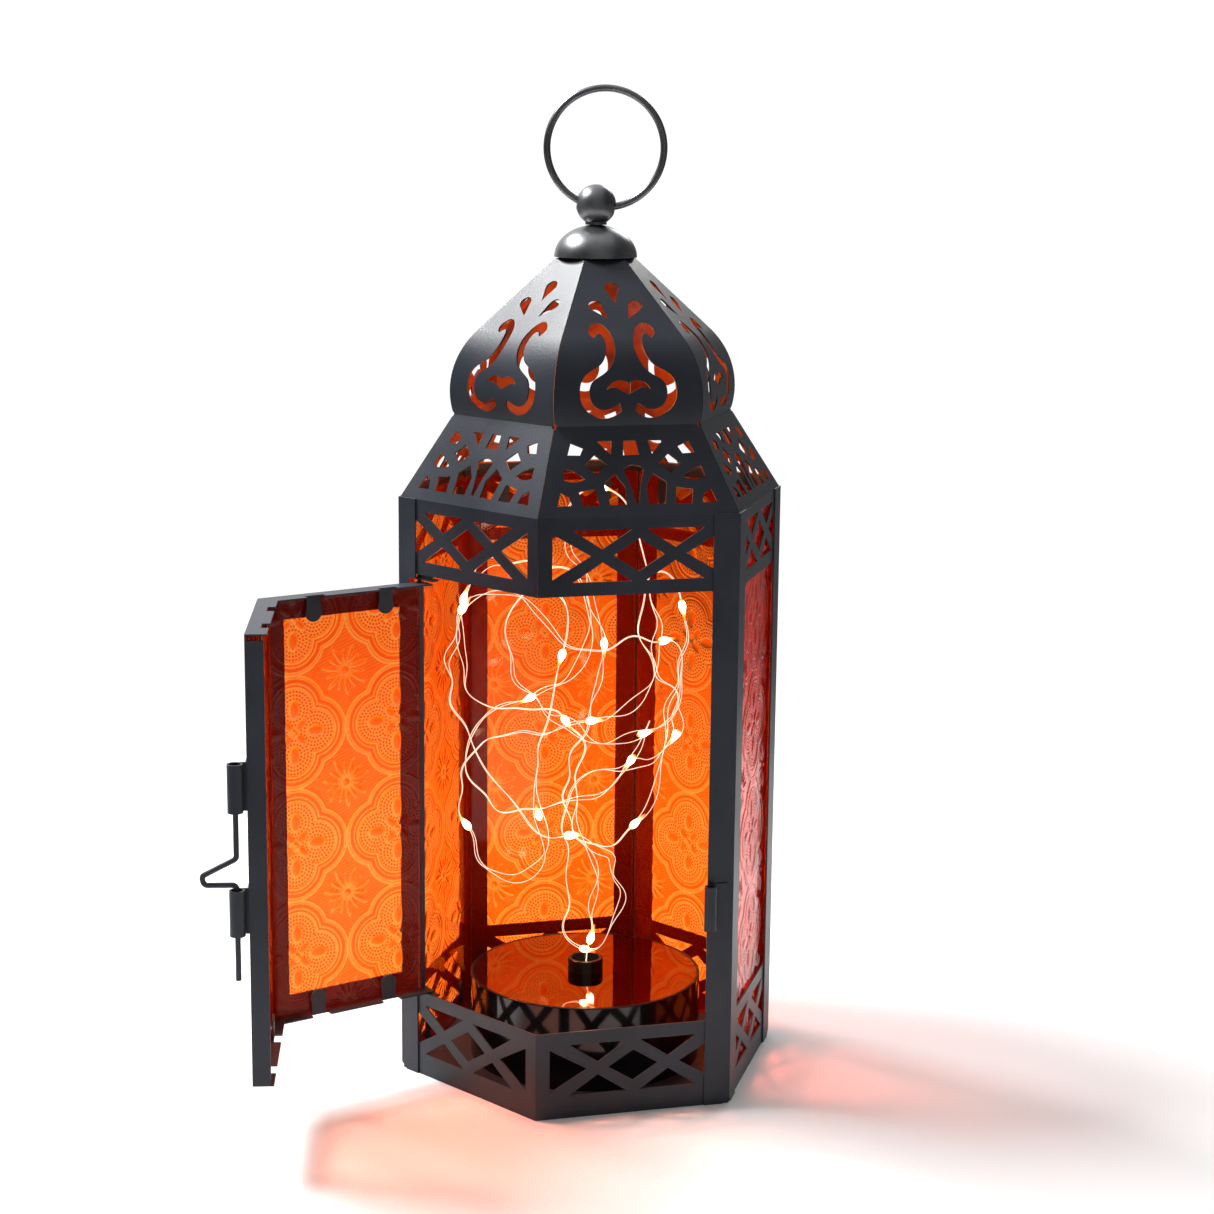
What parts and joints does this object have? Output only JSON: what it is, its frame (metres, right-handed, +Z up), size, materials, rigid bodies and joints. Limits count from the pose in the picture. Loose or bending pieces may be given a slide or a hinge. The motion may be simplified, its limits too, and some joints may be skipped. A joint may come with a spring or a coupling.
{
  "type": "hexagonal metal lantern with hinged door",
  "caption": "Hexagonal pierced-metal lantern with amber patterned glass, flared pagoda roof, hanging ring, two-sided glazed door and a battery fairy-light puck.",
  "frame": {"origin": "centre of the hexagonal base at its underside", "axes": "+Z up through the finial; +Y to the back; -Y face is the doorway's right half (front); X across, corners at -X and +X"},
  "size_m": [0.221, 0.1479, 0.3532],
  "materials": {
    "black_powder_coated_steel": "satin",
    "bent_sheet_steel": "satin",
    "gunmetal_steel": "brushed satin",
    "amber_glass": "gloss",
    "black_plastic": "gloss",
    "mirror_glass": "mirror",
    "grommet_rubber": "matt",
    "battery_sleeve": "gloss",
    "spring_steel": "satin",
    "board_laminate": "satin",
    "component_plastic": "satin",
    "lead_wire": "satin",
    "led_resin": "gloss"
  },
  "bodies": {
    "case": {"base_band_back": "black_powder_coated_steel", "base_band_back_left": "black_powder_coated_steel", "base_band_back_right": "black_powder_coated_steel", "base_band_front": "black_powder_coated_steel", "base_band_front_left": "black_powder_coated_steel", "base_band_front_right": "black_powder_coated_steel", "base_plate": "black_powder_coated_steel", "battery_cells": "battery_sleeve", "battery_cover": "black_plastic", "board_parts": "component_plastic", "bolt_keeper": "black_powder_coated_steel", "cap_dome": "gunmetal_steel", "circuit_board": "board_laminate", "contact_plates": "spring_steel", "contact_springs": "spring_steel", "corner_post_back_left": "black_powder_coated_steel", "corner_post_back_right": "black_powder_coated_steel", "corner_post_hinge_side": "black_powder_coated_steel", "corner_post_latch_side": "black_powder_coated_steel", "corner_post_right": "black_powder_coated_steel", "finial_ball": "gunmetal_steel", "finial_nut": "gunmetal_steel", "glass_back": "amber_glass", "glass_back_left": "amber_glass", "glass_back_right": "amber_glass", "glass_clips_lower": "bent_sheet_steel", "glass_clips_upper": "bent_sheet_steel", "glass_front_right": "amber_glass", "hinge_bracket_lower": "black_powder_coated_steel", "hinge_bracket_upper": "black_powder_coated_steel", "led_beads": "led_resin", "light_string_wire": "lead_wire", "mirror_disc": "mirror_glass", "puck_housing": "black_plastic", "puck_lid": "black_plastic", "puck_screws": "spring_steel", "roof_panel_back": "black_powder_coated_steel", "roof_panel_back_left": "black_powder_coated_steel", "roof_panel_back_right": "black_powder_coated_steel", "roof_panel_front": "black_powder_coated_steel", "roof_panel_front_left": "black_powder_coated_steel", "roof_panel_front_right": "black_powder_coated_steel", "roof_top_plate": "gunmetal_steel", "switch_body": "component_plastic", "wire_collar": "black_plastic", "wire_grommet": "grommet_rubber"},
    "door": {"door_frame_left": "black_powder_coated_steel", "door_frame_right": "black_powder_coated_steel", "door_glass_left": "amber_glass", "door_glass_right": "amber_glass", "hinge_pin_lower": "black_powder_coated_steel", "hinge_pin_upper": "black_powder_coated_steel", "bolt_guide_upper": "black_powder_coated_steel", "bolt_guide_lower": "black_powder_coated_steel"},
    "latch_bolt": {"latch_bolt": "black_powder_coated_steel"},
    "ring": {"hanging_ring": "gunmetal_steel"},
    "switch_knob": {"switch_knob": "black_plastic"}
  },
  "joints": [
    {"name": "door_hinge", "type": "hinge", "parent": "case", "child": "door", "pos_m": [-0.06451, -0.0063, 0.1], "axis": [0, 0, 1], "range_deg": [-17, 101]},
    {"name": "bolt_slide", "type": "slide", "parent": "door", "child": "latch_bolt", "axis": [0, 0, 1], "range_m": [0, 0.0136]},
    {"name": "ring_swing", "type": "hinge", "parent": "case", "child": "ring", "pos_m": [0, 0, 0.312], "axis": [0.9531, -0.259, -0.1564], "range_deg": [-125, 125]},
    {"name": "switch_slide", "type": "slide", "parent": "case", "child": "switch_knob", "axis": [0, 1, 0], "range_m": [0, 0.003]}
  ]
}
